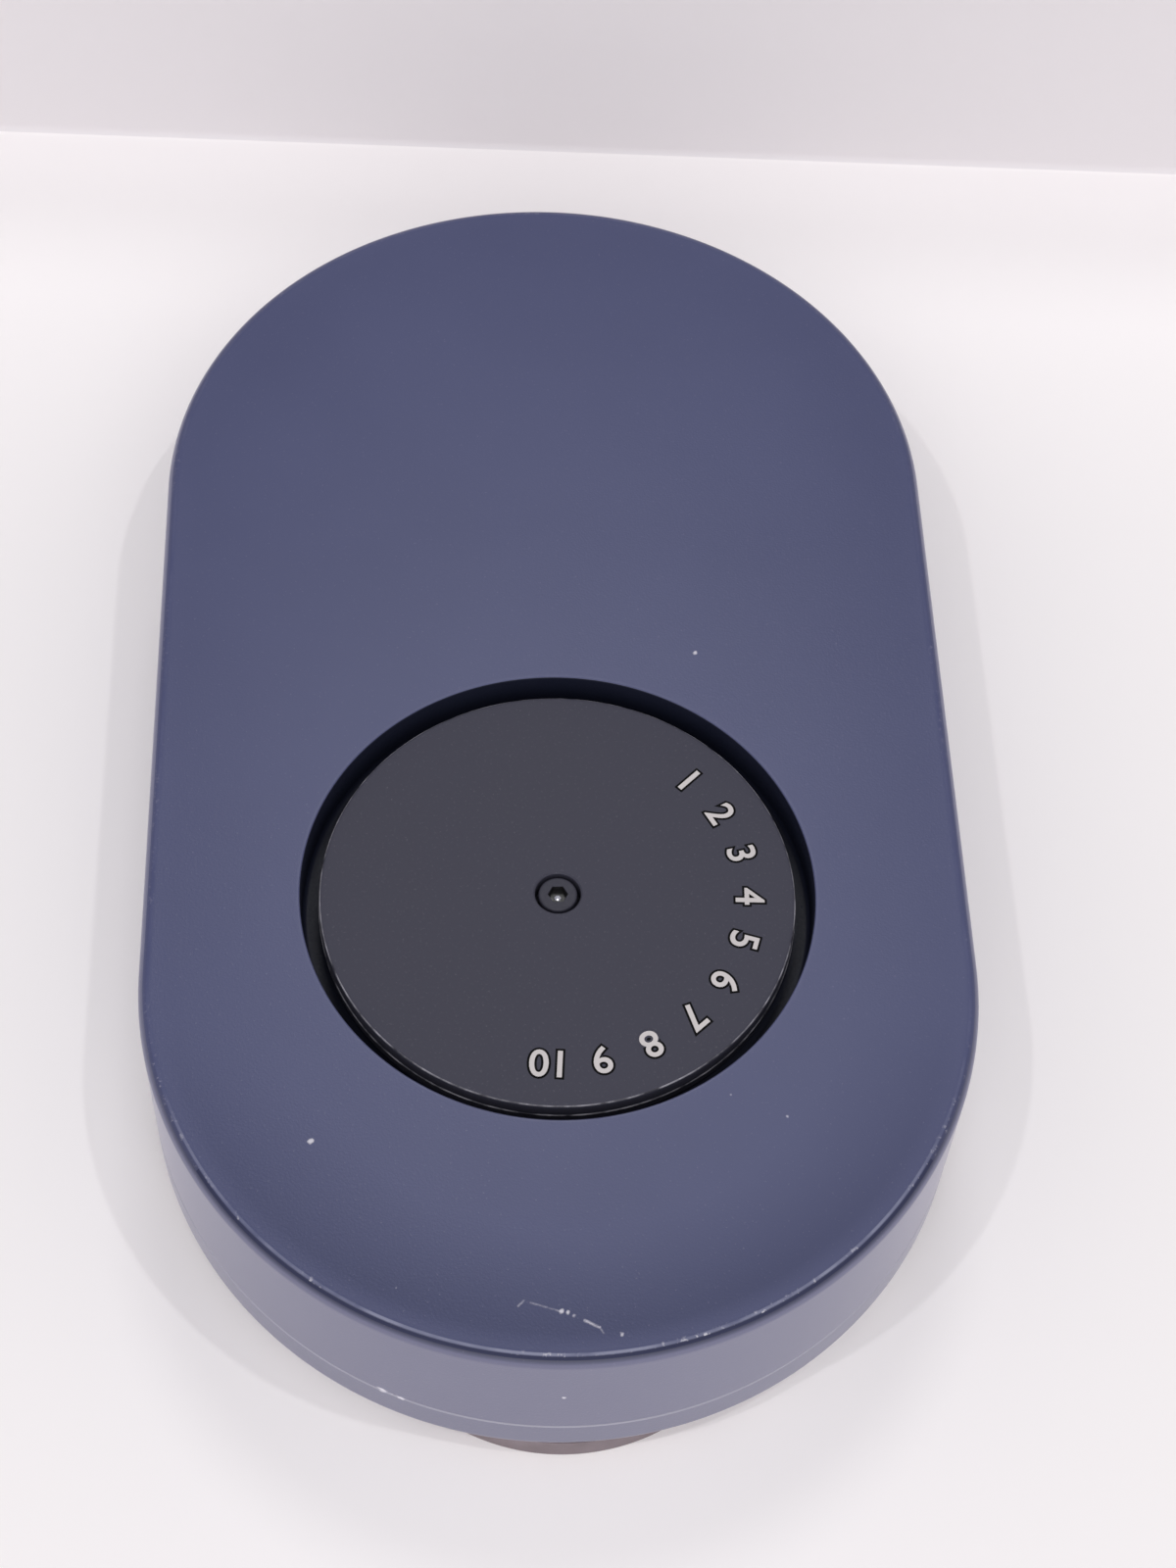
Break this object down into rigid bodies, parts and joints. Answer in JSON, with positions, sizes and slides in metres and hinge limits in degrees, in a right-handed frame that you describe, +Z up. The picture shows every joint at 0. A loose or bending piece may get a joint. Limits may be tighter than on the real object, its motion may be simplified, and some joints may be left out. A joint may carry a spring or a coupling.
{
  "type": "mouse jiggler",
  "caption": "Pill-shaped desk gadget with a geared motor turntable let into its top face, for a computer mouse to stand on.",
  "frame": {"origin": "on the desk, under the middle of the housing", "axes": "+Y along the housing towards its rear end, away from the turntable; +Z up; +X to the right"},
  "size_m": [0.08, 0.1394, 0.0223],
  "materials": {
    "housing": "soft-touch coated ABS",
    "lower_housing": "soft-touch coated ABS",
    "pad": "matt rubber",
    "turntable": "fine-grained matt",
    "cap_screw": "blackened steel",
    "black_screws": "blackened steel",
    "white_acetal": "moulded acetal",
    "bright_steel": "ground steel",
    "bronze": "turned",
    "motor_can": "drawn, zinc plated",
    "gearbox": "moulded nylon",
    "circuit_board": "solder resist on glass laminate",
    "inlet_shell": "nickel plated",
    "black_plastic": "moulded",
    "button": "fine matt",
    "connector": "moulded nylon",
    "lead_jacket": "PVC insulation"
  },
  "bodies": {
    "housing": {"top_shell": "housing", "bottom_shell": "lower_housing", "base_pad": "pad", "case_screws": "black_screws", "thrust_washer": "white_acetal", "output_bushes": "bronze", "gear_arbors": "bright_steel", "motor": "motor_can", "motor_screws": "black_screws", "gearbox_base": "gearbox", "gearbox_cover": "gearbox", "gearbox_screws": "black_screws", "circuit_board": "circuit_board", "board_screws": "bright_steel", "usb_shell": "inlet_shell", "usb_tongue": "black_plastic", "tact_switch": "black_plastic", "controller_chip": "black_plastic", "board_components": "black_plastic", "motor_connector": "connector", "motor_plug": "connector", "motor_leads": "lead_jacket"},
    "table": {"turntable": "turntable", "turntable_screw": "cap_screw", "output_shaft": "bright_steel", "output_gear": "white_acetal"},
    "second_gear": {"compound_gear_2": "white_acetal"},
    "first_gear": {"compound_gear_1": "white_acetal"},
    "rotor": {"motor_pinion": "bronze", "motor_shaft": "bright_steel"},
    "button": {"power_button": "button", "switch_plunger": "white_acetal"}
  },
  "joints": [
    {"name": "turntable_spin", "type": "hinge", "parent": "housing", "child": "table", "pos_m": [0, -0.0209, 0], "axis": [0, 0, 1], "continuous": true},
    {"name": "second_gear_spin", "type": "hinge", "parent": "housing", "child": "second_gear", "pos_m": [0, -0.0089, 0], "axis": [0, 0, 1], "continuous": true},
    {"name": "first_gear_spin", "type": "hinge", "parent": "housing", "child": "first_gear", "pos_m": [0, 0.0031, 0], "axis": [0, 0, 1], "continuous": true},
    {"name": "motor_spin", "type": "hinge", "parent": "housing", "child": "rotor", "pos_m": [0, 0.0151, 0], "axis": [0, 0, 1], "continuous": true},
    {"name": "power_press", "type": "slide", "parent": "housing", "child": "button", "axis": [-0.3907, -0.9205, 0], "range_m": [0, 0.0005], "stiffness_N_per_m": 2000}
  ],
  "couplings": [
    {"joint": "second_gear_spin", "follows": "turntable_spin", "ratio": -3},
    {"joint": "first_gear_spin", "follows": "turntable_spin", "ratio": 9},
    {"joint": "motor_spin", "follows": "turntable_spin", "ratio": -27}
  ]
}
